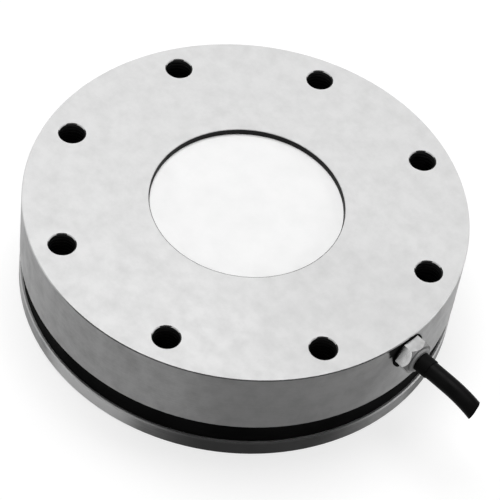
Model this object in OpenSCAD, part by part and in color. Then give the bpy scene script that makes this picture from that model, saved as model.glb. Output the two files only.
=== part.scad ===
// Pancake load cell: a turned load ring standing on a round base plate.
// The ring carries the load at its eight tapped holes, a thin web passes it to
// the hub, and the hub stands on the plate. Strain gauges sit on top of the web.
// Origin at the centre of the underside, +Z up, +X towards the cable.

/* [Body] */
// Outer diameter of the load ring and the base plate
body_d = 150; // [146:1:170]
// Height of the load ring's outer face
ring_h = 25; // [24:0.5:32]
// Height of the sealed gap between load ring and base plate
gap_h = 8.5; // [6:0.5:12]
// Thickness of the base plate
base_t = 6.5; // [6:0.5:12]
// Chamfer on the top outer edge of the load ring
top_chamfer = 0.3; // [0.2:0.1:1]
// Chamfer on the two edges that face the gap
gap_chamfer = 0.4; // [0.2:0.1:0.8]
// Chamfer on the lower edge of the base plate
foot_chamfer = 0.8; // [0.3:0.1:1.5]

/* [Mounting holes] */
// Distance from the outer face to the circle of mounting holes
bolt_edge = 10; // [9:0.5:14]
// Number of mounting holes
bolt_n = 8; // [4:2:8]
// Wall diameter of a mounting hole
bolt_bore = 9; // [6:0.5:10]
// Depth of the full bore of a mounting hole
bolt_depth = 18; // [10:1:20]
// Chamfer at the mouth of a mounting hole
bolt_mouth = 0.3; // [0.2:0.1:0.8]

/* [Spring element] */
// Diameter of the gauge cavity and of the groove below the web
cavity_d = 62; // [58:1:63]
// Depth of the gauge cavity below the cover seat
cavity_h = 7; // [6.5:0.5:8]
// Diameter of the hub
hub_d = 30; // [30:1:34]
// Thickness of the web between hub and ring
web_t = 5; // [3:0.5:6]
// Radius at the roots of the web
web_fillet = 2; // [1:0.5:3]
// Gap that lets the ring stop on the base plate when overloaded
stop_gap = 0.5; // [0.2:0.1:1]
// Depth of the seat for the hub in the base plate
hub_seat = 1; // [0.5:0.5:2]
// Radial clearance of that seat
hub_clearance = 0.05; // [0.02:0.01:0.1]

/* [Dust seal] */
// Width of the step under the ring's rim that the seal sits in
seal_step_w = 11; // [9:0.5:13]
// Radial clearance between the shoulder and the seal
seal_clearance = 0.2; // [0.1:0.1:0.5]
// Depth of the seal's face behind the outer diameter
seal_inset = 1; // [0.5:0.1:2]
// Wall of the seal behind its outer face
seal_wall = 3; // [2:0.5:4]
// Thickness of the seal's upper and lower lips
seal_lip = 2; // [1:0.25:2.5]

/* [Cover] */
// Width of the ledge that the cover lies on
cover_ledge_w = 2; // [1.5:0.25:4]
// Depth of the recess above the cover
recess_depth = 2; // [1:0.25:3]
// Thickness of the cover disc
cover_t = 1.6; // [1:0.2:2]
// Radial clearance of the cover disc in its recess
cover_clearance = 0.1; // [0.05:0.05:0.3]
// Thickness of the gasket under the cover
gasket_t = 0.4; // [0.2:0.1:0.8]
// Height of the centring rim under the cover
cover_rim_h = 0.8; // [0.4:0.1:1]

/* [Cable gland] */
// Depth of the cable axis below the top face
gland_drop = 6.7; // [6.7:0.1:8]
// Width across the flats of the gland screw
gland_af = 11; // [10:0.5:11]
// Length of the hexagon
gland_hex_t = 4.5; // [4:0.5:6]
// Diameter of the threaded shank
gland_shank_d = 9.4; // [8.5:0.1:9.6]
// Clearance on the diameter of the shank
gland_clearance = 0.1; // [0.06:0.02:0.2]
// Diameter of the rounded nose
gland_nose_d = 9.4; // [8.4:0.2:10]
// Length of the rounded nose
gland_nose_t = 1; // [0.8:0.1:3]
// Rounding of the nose
gland_nose_round = 0.8; // [0.3:0.1:0.8]
// Depth of the flat seat that is cut in the side for the gland
spot_depth = 0.6; // [0.5:0.1:1]
// Diameter of that seat
spot_d = 13; // [12.8:0.2:13.2]
// Thickness of the sealing washer
seal_washer_t = 1; // [0.6:0.1:1.2]
// Length of the rubber bush around the cable
bush_t = 6; // [4:0.5:7]
// Thickness of the slip washer between bush and gland screw
slip_washer_t = 0.8; // [0.5:0.1:1]
// Depth of the gland hole below its seat
gland_depth = 13.5; // [12.5:0.5:15]
// Diameter of the bore that takes the cores to the cavity
core_bore = 4.6; // [4.2:0.1:4.6]

/* [Cable] */
// Outer diameter of the cable jacket
cable_d = 6.1; // [5.8:0.1:6.2]
// Outer diameter of the sleeve at the gland
boot_d = 6.7; // [6.6:0.1:6.8]
// Clearance on the diameter between the sleeve and the gland
boot_clearance = 0.2; // [0.1:0.05:0.3]
// Length of the sleeve outside the gland
boot_out = 4.6; // [3:0.2:8]
// Length of the sleeve inside the gland
boot_in = 1.6; // [1:0.2:3]
// Outer diameter of one insulated core
core_d = 1.2; // [0.9:0.1:1.3]
// Space between neighbouring cores
core_gap = 0.2; // [0.16:0.02:0.24]
// Wall of the braided screen around the cores
screen_wall = 0.2; // [0.1:0.05:0.25]
// Length of the screen past the end of the jacket
screen_out = 7; // [4:1:12]

/* [Gauges and board] */
// Width of a strain gauge
gauge_w = 3.4; // [2.4:0.2:4]
// Thickness of a strain gauge with its cover film
gauge_t = 0.2; // [0.1:0.05:0.3]
// Space between a gauge and the root of the web
gauge_margin = 0.5; // [0.3:0.1:0.8]
// Space between a gauge and its solder terminal
gauge_space = 0.8; // [0.6:0.1:1.2]
// Length of a solder terminal, along the radius
terminal_l = 2.2; // [1.8:0.1:2.4]
// Width of a solder terminal
terminal_w = 4.4; // [4:0.2:5]
// Height of a solder terminal
terminal_t = 0.5; // [0.4:0.05:0.6]
// Diameter of the bridge board
board_d = 24; // [23.6:0.2:26]
// Thickness of the bridge board
board_t = 1.2; // [0.8:0.2:1.6]
// Height of the spacers under the board
spacer_h = 2.2; // [1.4:0.2:2.4]
// Outer diameter of a spacer
spacer_d = 4.4; // [4:0.2:5]
// Diameter of a board screw
board_screw_d = 2.4; // [2:0.1:2.6]
// Clearance on the diameter of a board screw
board_screw_clearance = 0.2; // [0.1:0.05:0.4]
// Diameter of the circle of board screws
board_screw_pcd = 17; // [16.4:0.2:18]
// Depth of a board screw in the hub
board_screw_grip = 5; // [3:0.5:6]
// Diameter of a trimming resistor's body
resistor_d = 1.7; // [1.2:0.1:1.8]
// Length of a trimming resistor's body
resistor_l = 3.6; // [3:0.1:4]
// Diameter of a fine wire
wire_d = 0.5; // [0.4:0.05:0.6]

/* [Base fixings] */
// Diameter of the circle of base screws and dowels
base_screw_pcd = 20; // [18:0.5:20]
// Diameter of a base screw
base_screw_d = 5; // [4:0.5:5]
// Diameter of a base screw's countersunk head
base_head_d = 10; // [9:0.5:10]
// Length of a base screw
base_screw_l = 15; // [13:0.5:17]
// Depth of a base screw's head below the underside
base_head_inset = 0.2; // [0.1:0.1:0.4]
// Clearance on the diameter of a base screw
base_screw_clearance = 0.2; // [0.1:0.05:0.4]
// Width across the flats of a base screw's socket
socket_af = 3; // [2:0.5:3]
// Diameter of a dowel
dowel_d = 3; // [2:0.5:3]
// Length of a dowel
dowel_l = 11; // [9:0.5:14]
// Clearance on the diameter of a dowel
dowel_clearance = 0.06; // [0.04:0.02:0.1]

/* [Hidden] */
$fn = 96;

body_r = body_d / 2;
hub_r = hub_d / 2;
cavity_r = cavity_d / 2;
recess_r = cavity_r + cover_ledge_w;
shoulder_r = body_r - seal_step_w;
bolt_circle_r = body_r - bolt_edge;
board_r = board_d / 2;

// Heights, from the underside up
hub_z = base_t - hub_seat;
stop_z = base_t + stop_gap;
ring_z = base_t + gap_h;
top_z = ring_z + ring_h;
cover_top_z = top_z - recess_depth;
cover_z = cover_top_z - cover_t;
seat_z = cover_z - gasket_t;
floor_z = seat_z - cavity_h;
web_z = floor_z - web_t;
board_z = floor_z + spacer_h;
board_top_z = board_z + board_t;
gland_z = top_z - gland_drop;

// Distances along the cable, from the axis out
spot_x = body_r - spot_depth;
pocket_x = spot_x - gland_depth;
bush_x = pocket_x;
slip_x = bush_x + bush_t;
shank_x = slip_x + slip_washer_t;
hex_x = spot_x + seal_washer_t;
nose_x = hex_x + gland_hex_t;
gland_end_x = nose_x + gland_nose_t;

gland_corner_r = gland_af / 2 / cos(30);
gland_hole_d = gland_shank_d + gland_clearance;
gland_bore = boot_d + boot_clearance;
hex_chamfer_angle = 55;
drill_point_angle = 59;
recess_chamfer = 0.15;
cover_rim_w = 1.2;
base_cone_h = (base_head_d - base_screw_d) / 2;
dowel_z = 0.3;
// Room left at the bottom of a blind hole, and how far a cut runs past a face
blind_room = 1;
overrun = 0.01;

// Mounting holes lie half a pitch away from the cable
bolt_start = 180 / bolt_n;

// Four pairs of gauges, half way between the axes, share the web with a terminal
gauge_angles = [45, 135, 225, 315];
gauge_l = (cavity_r - hub_r - 2 * gauge_margin - terminal_l) / 2 - gauge_space;
inner_gauge_r = hub_r + gauge_margin + gauge_l / 2;
outer_gauge_r = cavity_r - gauge_margin - gauge_l / 2;
terminal_r = (inner_gauge_r + outer_gauge_r) / 2;
board_screw_angles = [60, 180, 300];
base_screw_angles = [45, 135, 225, 315];
dowel_angles = [0, 180];

// Middle line of the cable in its vertical plane, from the stripped end of the jacket in
// the gland: straight at first, then it droops to the cut end. Points are 3 mm apart or less.
cable_route = [
  [62, 0, 33.3], [65, 0, 33.3], [68, 0, 33.3], [71, 0, 33.3],
  [74, 0, 33.3], [77, 0, 33.3], [80, 0, 33.3], [83, 0, 33.3],
  [86, 0, 33.3], [89, 0, 33.3], [92, 0, 33.28], [94.8, 0, 33.2],
  [97.6, 0, 32.95], [100.3, 0, 32.5], [103, 0, 31.85], [104.6, 0, 31.33]
];
jacket_x = cable_route[0][0];
// The plain tube has a ring at every third point
ring_step = 3;
cable_sides = 12;
wire_sides = 8;

// Places of the four cores: quarter of the bundle, and solder pad on the board
core_pitch = core_d + core_gap;
core_bundle_r = core_pitch / sqrt(2) + core_d / 2;
core_mouth_x = cavity_r + 1;
core_landing_x = board_r - 1;
core_pad_x = board_r - 3.5;
core_pad_pitch = 2.6;

// Trimming resistors lie side by side behind the middle of the board
resistor_x = -1.5;
resistor_rows = [-3.9, -1.3, 1.3, 3.9];
board_air = 0.1;

function unit(v) = v / norm(v);

function heading(path, i) = unit(path[min(i + 1, len(path) - 1)] - path[max(i - 1, 0)]);

// One ring of points square to the path, which never runs straight up
function ring_points(path, i, d, sides) =
  let (along = heading(path, i))
  let (across = unit(cross(along, [0, 0, 1])))
  let (above = cross(across, along))
  [for (k = [0 : sides - 1])
    path[i] + d / 2 * (cos(360 * k / sides) * across + sin(360 * k / sides) * above)];

// A round tube swept along a list of points
module sweep(path, d, sides) {
  last = len(path) - 1;
  points = [for (i = [0 : last]) each ring_points(path, i, d, sides)];
  start_cap = [for (k = [sides - 1 : -1 : 0]) k];
  end_cap = [for (k = [0 : sides - 1]) last * sides + k];
  walls = [for (i = [0 : last - 1], k = [0 : sides - 1])
    let (a = i * sides + k, b = i * sides + (k + 1) % sides)
    each [[a, b, b + sides], [a, b + sides, a + sides]]];
  polyhedron(points, concat([start_cap, end_cap], walls));
}

// Points of a quarter round, from one angle to another
function quarter(cx, cy, r, from, to, steps = 6) =
  [for (k = [0 : steps])
    let (a = from + (to - from) * k / steps)
    [cx + r * cos(a), cy + r * sin(a)]];

// Points of a smooth S-bend that leaves and arrives along X
function ease(from, to, steps = 6) =
  [for (k = [0 : steps])
    let (t = k / steps, s = t * t * (3 - 2 * t))
    [from[0] + t * (to[0] - from[0]), from[1] + s * (to[1] - from[1]),
      from[2] + s * (to[2] - from[2])]];

// Turned and drilled work along the cable has its own axis as local Z
module on_cable_axis(x) {
  translate([x, 0, gland_z]) rotate([0, 90, 0]) children();
}

module around(angles, r) {
  for (a = angles) rotate([0, 0, a]) translate([r, 0, 0]) children();
}

module pipe(outer_d, inner_d, h) {
  difference() {
    cylinder(d = outer_d, h = h);
    translate([0, 0, -overrun]) cylinder(d = inner_d, h = h + 2 * overrun);
  }
}

// Base plate: turned disc with a seat for the hub, screwed on from below
module base_plate() {
  color("silver") difference() {
    rotate_extrude() polygon([
      [0, 0], [body_r - foot_chamfer, 0], [body_r, foot_chamfer],
      [body_r, base_t - gap_chamfer], [body_r - gap_chamfer, base_t],
      [hub_r + hub_clearance, base_t], [hub_r + hub_clearance, hub_z], [0, hub_z]
    ]);
    around(base_screw_angles, base_screw_pcd / 2) base_screw_hole();
    around(dowel_angles, base_screw_pcd / 2) dowel_hole();
  }
}

// Countersunk clearance hole, right through the base plate
module base_screw_hole() {
  hole_r = (base_screw_d + base_screw_clearance) / 2;
  head_r = (base_head_d + base_screw_clearance) / 2;
  rotate_extrude() polygon([
    [0, -overrun], [head_r, -overrun], [head_r, base_head_inset],
    [hole_r, base_head_inset + base_cone_h], [hole_r, base_t], [0, base_t]
  ]);
}

module dowel_hole() {
  translate([0, 0, -overrun])
    cylinder(d = dowel_d + dowel_clearance, h = dowel_z + dowel_l + blind_room);
}

// Load ring: outer ring, web and hub are turned from one piece
module load_ring() {
  color("gainsboro") difference() {
    rotate_extrude() polygon(concat(
      [[0, hub_z], [hub_r, hub_z]],
      quarter(hub_r + web_fillet, web_z - web_fillet, web_fillet, 180, 90),
      quarter(cavity_r - web_fillet, web_z - web_fillet, web_fillet, 90, 0),
      [
        [cavity_r, stop_z], [shoulder_r, stop_z], [shoulder_r, ring_z],
        [body_r - gap_chamfer, ring_z], [body_r, ring_z + gap_chamfer],
        [body_r, top_z - top_chamfer], [body_r - top_chamfer, top_z],
        [recess_r + recess_chamfer, top_z], [recess_r, top_z - recess_chamfer],
        [recess_r, seat_z], [cavity_r, seat_z], [cavity_r, floor_z], [0, floor_z]
      ]
    ));
    around([for (k = [0 : bolt_n - 1]) bolt_start + 360 * k / bolt_n], bolt_circle_r)
      translate([0, 0, top_z]) mounting_hole();
    cable_way();
    around(board_screw_angles, board_screw_pcd / 2) board_screw_hole();
    around(base_screw_angles, base_screw_pcd / 2)
      cylinder(
        d = base_screw_d + base_screw_clearance,
        h = base_head_inset + base_screw_l + blind_room
      );
    around(dowel_angles, base_screw_pcd / 2) dowel_hole();
  }
}

// Blind tapped hole with a drilled point, its mouth at z = 0
module mounting_hole() {
  r = bolt_bore / 2;
  rotate_extrude() polygon([
    [0, overrun], [r + bolt_mouth + overrun, overrun], [r, -bolt_mouth],
    [r, -bolt_depth], [0, -bolt_depth - r / tan(drill_point_angle)]
  ]);
}

// Blind hole in the hub for a screw of the bridge board
module board_screw_hole() {
  depth = board_screw_grip + blind_room;
  translate([0, 0, floor_z - depth])
    cylinder(d = board_screw_d + board_screw_clearance, h = depth + overrun);
}

// Seat, tapped hole and core bore, from the side of the ring into the cavity
module cable_way() {
  on_cable_axis(spot_x) cylinder(d = spot_d, h = spot_depth + overrun);
  on_cable_axis(pocket_x) cylinder(d = gland_hole_d, h = gland_depth + overrun);
  bore_start = cavity_r - core_bore / 2;
  on_cable_axis(bore_start) cylinder(d = core_bore, h = pocket_x - bore_start + overrun);
}

// Dust seal: soft C-shaped ring that closes the gap and lets the ring move
module dust_seal() {
  inner_r = shoulder_r + seal_clearance;
  outer_r = body_r - seal_inset;
  color("black") rotate_extrude() polygon([
    [inner_r, base_t], [outer_r, base_t], [outer_r, ring_z], [inner_r, ring_z],
    [inner_r, ring_z - seal_lip], [outer_r - seal_wall, ring_z - seal_lip],
    [outer_r - seal_wall, base_t + seal_lip], [inner_r, base_t + seal_lip]
  ]);
}

// Cover disc: thin disc with a centring rim that drops in the cavity
module cover_disc() {
  cover_r = recess_r - cover_clearance;
  rim_r = cavity_r - cover_clearance;
  rim_z = seat_z - cover_rim_h;
  color("whitesmoke") rotate_extrude() polygon([
    [0, cover_z], [rim_r - cover_rim_w, cover_z], [rim_r - cover_rim_w, rim_z],
    [rim_r, rim_z], [rim_r, cover_z], [cover_r, cover_z],
    [cover_r, cover_top_z - recess_chamfer], [cover_r - recess_chamfer, cover_top_z],
    [0, cover_top_z]
  ]);
}

module cover_gasket() {
  color("dimgray") translate([0, 0, seat_z])
    pipe(2 * (recess_r - cover_clearance), 2 * (cavity_r + cover_clearance), gasket_t);
}

// Gland screw: hexagon with turned corners, tapped shank and rounded nose
module gland_screw() {
  blank_r = gland_corner_r + overrun;
  corner_z = gland_hex_t - (blank_r - gland_af / 2) * tan(hex_chamfer_angle);
  nose_r = gland_nose_d / 2;
  round_z = gland_hex_t + gland_nose_t - gland_nose_round;
  color("lightgray") on_cable_axis(hex_x) difference() {
    union() {
      intersection() {
        rotate([0, 0, 30]) cylinder(r = gland_corner_r, h = gland_hex_t, $fn = 6);
        rotate_extrude() polygon([
          [0, 0], [blank_r, 0], [blank_r, corner_z],
          [gland_af / 2, gland_hex_t], [0, gland_hex_t]
        ]);
      }
      translate([0, 0, shank_x - hex_x]) cylinder(d = gland_shank_d, h = hex_x - shank_x);
      rotate_extrude() polygon(concat(
        [[0, 0], [nose_r, 0]],
        quarter(nose_r - gland_nose_round, round_z, gland_nose_round, 0, 90),
        [[0, gland_hex_t + gland_nose_t]]
      ));
    }
    translate([0, 0, shank_x - hex_x - overrun])
      cylinder(d = gland_bore, h = gland_end_x - shank_x + 2 * overrun);
  }
}

module gland_seal() {
  color("black") on_cable_axis(spot_x) pipe(spot_d - gland_clearance, gland_hole_d, seal_washer_t);
}

// Rubber bush with bevelled ends, squeezed round the cable by the gland screw
module gland_bush() {
  r = gland_shank_d / 2;
  bevel = (gland_shank_d - cable_d) / 4;
  color("dimgray") on_cable_axis(bush_x) rotate_extrude() polygon([
    [cable_d / 2, 0], [r - bevel, 0], [r, bevel],
    [r, bush_t - bevel], [r - bevel, bush_t], [cable_d / 2, bush_t]
  ]);
}

module slip_washer() {
  color("goldenrod") on_cable_axis(slip_x)
    pipe(gland_shank_d, cable_d + gland_clearance, slip_washer_t);
}

// Shrunk sleeve that stiffens the cable where it leaves the gland
module cable_boot() {
  boot_l = boot_in + boot_out;
  wall = (boot_d - cable_d) / 2;
  color("black") on_cable_axis(gland_end_x - boot_in) rotate_extrude() polygon([
    [cable_d / 2, 0], [boot_d / 2, 0], [boot_d / 2, boot_l - wall / 2],
    [boot_d / 2 - wall / 2, boot_l], [cable_d / 2, boot_l]
  ]);
}

module cable_jacket() {
  color("black")
    sweep([for (i = [0 : ring_step : len(cable_route) - 1]) cable_route[i]], cable_d, cable_sides);
}

module cable_screen() {
  inner_d = 2 * core_bundle_r;
  color("silver") on_cable_axis(jacket_x - screen_out)
    pipe(inner_d + 2 * screen_wall, inner_d, screen_out);
}

// One insulated core, from its quarter of the cable to its pad on the board
module core(side, level, pad) {
  start = [jacket_x, side * core_pitch / 2, gland_z + level * core_pitch / 2];
  mouth = [core_mouth_x, start[1], start[2]];
  landing = [core_landing_x, pad * core_pad_pitch / 2, board_top_z + core_d / 2];
  pad_end = [core_pad_x, landing[1], landing[2]];
  sweep(concat([start], ease(mouth, landing), [pad_end]), core_d, wire_sides);
}

module red_core() {
  color("red") core(-1, 1, -3);
}

module black_core() {
  color("black") core(-1, -1, -1);
}

module green_core() {
  color("green") core(1, -1, 1);
}

module white_core() {
  color("white") core(1, 1, 3);
}

// Foil gauge with two solder tabs on the side of the terminal
module gauge(tab_side) {
  tab = gauge_w / 4;
  translate([-gauge_l / 2, -gauge_w / 2, floor_z]) cube([gauge_l, gauge_w, gauge_t]);
  for (y = [-tab, tab])
    translate([tab_side * (gauge_l / 2 - tab / 2) - tab / 2, y - tab / 2, floor_z])
      cube([tab, tab, 2 * gauge_t]);
}

module inner_gauges() {
  color("darkorange") around(gauge_angles, inner_gauge_r) gauge(1);
}

module outer_gauges() {
  color("darkorange") around(gauge_angles, outer_gauge_r) gauge(-1);
}

// Solder terminals, a strip with two raised pads between each pair of gauges
module gauge_terminals() {
  strip_t = terminal_t / 2;
  pad_d = 0.7 * terminal_l;
  color("peru") around(gauge_angles, terminal_r) {
    translate([-terminal_l / 2, -terminal_w / 2, floor_z]) cube([terminal_l, terminal_w, strip_t]);
    for (side = [-1, 1])
      translate([0, side * terminal_w / 4, floor_z + strip_t / 2])
        cylinder(d = pad_d, h = terminal_t - strip_t / 2);
  }
}

// Two wires from each terminal, up and over the edge of the board
module gauge_wires() {
  low = floor_z + terminal_t + wire_d / 2;
  high = board_top_z + wire_d / 2;
  for (a = gauge_angles, y = [-terminal_w / 4, terminal_w / 4])
    color("firebrick") rotate([0, 0, a]) sweep(concat(
      [[terminal_r + terminal_l / 4, y, low]],
      ease([terminal_r - terminal_l / 4, y, low], [board_r + wire_d, y, high]),
      [[board_r - 3 * wire_d, y, high]]
    ), wire_d, wire_sides);
}

module bridge_board() {
  color("darkgreen") translate([0, 0, board_z]) difference() {
    cylinder(r = board_r, h = board_t);
    around(board_screw_angles, board_screw_pcd / 2) translate([0, 0, -overrun])
      cylinder(d = board_screw_d + board_screw_clearance, h = board_t + 2 * overrun);
  }
}

module board_spacers() {
  color("khaki") around(board_screw_angles, board_screw_pcd / 2) translate([0, 0, floor_z])
    pipe(spacer_d, board_screw_d + board_screw_clearance, spacer_h);
}

module board_screws() {
  head_d = 1.8 * board_screw_d;
  head_h = 0.6 * board_screw_d;
  slot_w = 0.25 * board_screw_d;
  color("silver") around(board_screw_angles, board_screw_pcd / 2) {
    translate([0, 0, floor_z - board_screw_grip])
      cylinder(d = board_screw_d, h = board_top_z - floor_z + board_screw_grip + head_h / 4);
    translate([0, 0, board_top_z]) difference() {
      cylinder(d = head_d, h = head_h);
      translate([-head_d / 2 - overrun, -slot_w / 2, head_h / 2])
        cube([head_d + 2 * overrun, slot_w, head_h]);
    }
  }
}

// Trimming resistors: bodies in a row, each wire end held in a solder post
module trim_resistors() {
  axis_z = board_top_z + resistor_d / 2 + board_air;
  reach = resistor_l / 2 + 2 * wire_d;
  color("tan") for (y = resistor_rows) translate([resistor_x, y, 0]) {
    translate([-resistor_l / 2, 0, axis_z]) rotate([0, 90, 0]) cylinder(d = resistor_d, h = resistor_l);
    translate([-reach, 0, axis_z]) rotate([0, 90, 0]) cylinder(d = wire_d, h = 2 * reach);
    for (side = [-1, 1])
      translate([side * reach, 0, board_top_z])
        cylinder(d = 2 * wire_d, h = axis_z - board_top_z + wire_d);
  }
}

// Countersunk screws with hexagon sockets, up through the plate into the hub
module base_screws() {
  r = base_screw_d / 2;
  color("gray") around(base_screw_angles, base_screw_pcd / 2) difference() {
    rotate_extrude() polygon([
      [0, base_head_inset], [base_head_d / 2, base_head_inset],
      [r, base_head_inset + base_cone_h],
      [r, base_head_inset + base_screw_l], [0, base_head_inset + base_screw_l]
    ]);
    translate([0, 0, base_head_inset - overrun])
      cylinder(d = socket_af / cos(30), h = base_cone_h, $fn = 6);
  }
}

module base_dowels() {
  color("darkgray") around(dowel_angles, base_screw_pcd / 2) translate([0, 0, dowel_z])
    cylinder(d = dowel_d, h = dowel_l);
}

base_plate();
load_ring();
dust_seal();
cover_disc();
cover_gasket();
gland_screw();
gland_seal();
gland_bush();
slip_washer();
cable_boot();
cable_jacket();
cable_screen();
red_core();
black_core();
green_core();
white_core();
inner_gauges();
outer_gauges();
gauge_terminals();
gauge_wires();
bridge_board();
board_spacers();
board_screws();
trim_resistors();
base_screws();
base_dowels();
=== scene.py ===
import math

import bpy
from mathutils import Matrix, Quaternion, Vector


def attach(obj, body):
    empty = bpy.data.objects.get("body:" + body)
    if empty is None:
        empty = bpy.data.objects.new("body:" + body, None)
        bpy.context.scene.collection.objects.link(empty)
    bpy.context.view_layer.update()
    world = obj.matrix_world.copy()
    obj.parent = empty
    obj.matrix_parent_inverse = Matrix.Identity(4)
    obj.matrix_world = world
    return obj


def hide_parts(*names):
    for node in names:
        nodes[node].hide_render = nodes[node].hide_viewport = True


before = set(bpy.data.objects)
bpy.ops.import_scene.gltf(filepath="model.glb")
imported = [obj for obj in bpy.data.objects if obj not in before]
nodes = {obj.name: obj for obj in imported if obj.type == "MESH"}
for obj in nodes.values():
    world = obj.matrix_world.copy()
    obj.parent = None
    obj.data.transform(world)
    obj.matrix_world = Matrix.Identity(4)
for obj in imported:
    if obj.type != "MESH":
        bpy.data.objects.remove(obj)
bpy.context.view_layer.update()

MM = 0.001

# The camera. The picture was taken from the front right of the disc, from high up and
# with the camera tilted a little to one side. The cable points to its lower right.
PICTURE_PX = 500
FOCAL_PX = 2164.7
CAMERA_PLACE = Vector((307.7, -375.53, 574.5)) * MM
CAMERA_AIM = Vector((4.99, -0.82, 20.0)) * MM
CAMERA_TILT = math.radians(8.87)
SENSOR_MM = 36

bpy.ops.object.camera_add(location=CAMERA_PLACE)
camera = bpy.context.object
camera.name = "picture_camera"
camera.data.sensor_width = SENSOR_MM
camera.data.lens = SENSOR_MM * FOCAL_PX / PICTURE_PX
camera.data.clip_start = 0.02
camera.data.clip_end = 20
camera.rotation_mode = "QUATERNION"
level = (CAMERA_AIM - CAMERA_PLACE).to_track_quat("-Z", "Y")
camera.rotation_quaternion = level @ Quaternion((0, 0, 1), CAMERA_TILT)
bpy.context.scene.camera = camera

# The cable jacket. A soft black plastic tube, extruded over the screened cores. It is
# held in the gland, leaves it straight, droops and is cut off about 24 mm outside.
CABLE_D = 6.1 * MM
JACKET_BORE = 4.7 * MM
CUT_DEPTH = 0.35 * MM
CUT_ROUND = 0.08 * MM
# The pliers cut it out of square, so the tube is drawn a little past its tip first
CUT_ANGLE = math.radians(20)
SPARE = 1.3 * MM
# Points nearer than this are one
WELD = 0.01 * MM
SHARP_ANGLE = math.radians(50)
SMOOTH_ANGLE = math.radians(35)
CABLE_ROUTE = [
    (62, 0, 33.3), (65, 0, 33.3), (68, 0, 33.3), (71, 0, 33.3), (74, 0, 33.3),
    (77, 0, 33.3), (80, 0, 33.3), (83, 0, 33.3), (86, 0, 33.3), (89, 0, 33.3),
    (92, 0, 33.28), (94.8, 0, 33.2), (97.6, 0, 32.95), (100.3, 0, 32.5),
    (103, 0, 31.85), (104.6, 0, 31.33),
]
route = [Vector(point) * MM for point in CABLE_ROUTE]
cable_tip = route[-1]
tip_heading = (route[-1] - route[-2]).normalized()


def deselect():
    """Nothing is selected, so that an operator acts on the next piece alone."""
    if bpy.context.mode != "OBJECT":
        bpy.ops.object.mode_set(mode="OBJECT")
    bpy.ops.object.select_all(action="DESELECT")


def work_on(piece):
    """The piece alone is selected and active."""
    deselect()
    piece.select_set(True)
    bpy.context.view_layer.objects.active = piece


def settle(piece):
    """Puts the piece's place, turn and size into its mesh."""
    work_on(piece)
    bpy.ops.object.transform_apply(location=True, rotation=True, scale=True)


def round_edges(piece, width, sharp=SHARP_ANGLE, smooth=SMOOTH_ANGLE):
    """Rounds the edges that turn by more than the sharp angle, and shades the piece
    smooth where it turns by less than the smooth one."""
    work_on(piece)
    rounding = piece.modifiers.new("rounding", "BEVEL")
    rounding.width = width
    rounding.segments = 2
    rounding.limit_method = "ANGLE"
    rounding.angle_limit = sharp
    bpy.ops.object.modifier_apply(modifier=rounding.name)
    bpy.ops.object.shade_smooth_by_angle(angle=smooth)


line = bpy.data.curves.new("cable_line", "CURVE")
line.dimensions = "3D"
line.resolution_u = 3
line.bevel_depth = CABLE_D / 2
line.bevel_resolution = 8
spline = line.splines.new("BEZIER")
spline.bezier_points.add(len(route) - 1)
knots = route[:-1] + [cable_tip + tip_heading * SPARE]
for knot, point in zip(spline.bezier_points, knots):
    knot.co = point
    knot.handle_left_type = knot.handle_right_type = "AUTO"
jacket = bpy.data.objects.new("black_cable_jacket", line)
bpy.context.collection.objects.link(jacket)
work_on(jacket)
bpy.ops.object.convert(target="MESH")

cut_heading = Quaternion((0, 0, 1), CUT_ANGLE) @ tip_heading
work_on(jacket)
bpy.ops.object.mode_set(mode="EDIT")
bpy.ops.mesh.select_all(action="SELECT")
bpy.ops.mesh.remove_doubles(threshold=WELD)
bpy.ops.mesh.normals_make_consistent(inside=False)
bpy.ops.mesh.bisect(plane_co=cable_tip, plane_no=cut_heading, clear_outer=True)

# The far rim gets its wall and a shallow hollow, where the cores were cut off
bpy.ops.mesh.select_all(action="DESELECT")
bpy.ops.mesh.select_non_manifold(extend=False)
bpy.ops.object.mode_set(mode="OBJECT")
for edge in jacket.data.edges:
    ends = [jacket.data.vertices[v] for v in edge.vertices]
    edge.select = all(v.select and (v.co - cable_tip).length < CABLE_D for v in ends)
for vertex in jacket.data.vertices:
    vertex.select = vertex.select and (vertex.co - cable_tip).length < CABLE_D
bpy.ops.object.mode_set(mode="EDIT")
bpy.ops.mesh.select_mode(type="EDGE")
bpy.ops.mesh.extrude_edges_move()
bore_scale = JACKET_BORE / CABLE_D
bpy.ops.transform.resize(value=(bore_scale,) * 3, center_override=cable_tip)
bpy.ops.mesh.extrude_edges_move(
    TRANSFORM_OT_translate={"value": -tip_heading * CUT_DEPTH}
)
bpy.ops.mesh.edge_face_add()
round_edges(jacket, CUT_ROUND)


def finish_for(name, **sockets):
    """An empty finish: one shader with these values, and the place on the piece."""
    finish = bpy.data.materials.new(name)
    finish.use_nodes = True
    shader = finish.node_tree.nodes["Principled BSDF"]
    for socket, value in sockets.items():
        shader.inputs[socket.replace("_", " ")].default_value = value
    place = finish.node_tree.nodes.new("ShaderNodeTexCoord")
    place.name = "Place"
    return finish, shader, place


def join(finish, source, target):
    """Links an output to an input, both in this finish."""
    finish.node_tree.links.new(source, target)


def cover_with(piece, finish):
    """Gives the whole piece this one finish."""
    piece.data.materials.clear()
    piece.data.materials.append(finish)


def rgba(tone):
    """A colour with its alpha, from three values or from one for a grey."""
    return (*tone, 1) if isinstance(tone, tuple) else (tone, tone, tone, 1)


# What a group gives to a shader, if nothing else is asked for
SURFACE = [
    ("Color", "NodeSocketColor"),
    ("Roughness", "NodeSocketFloat"),
    ("Normal", "NodeSocketVector"),
]


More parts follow.
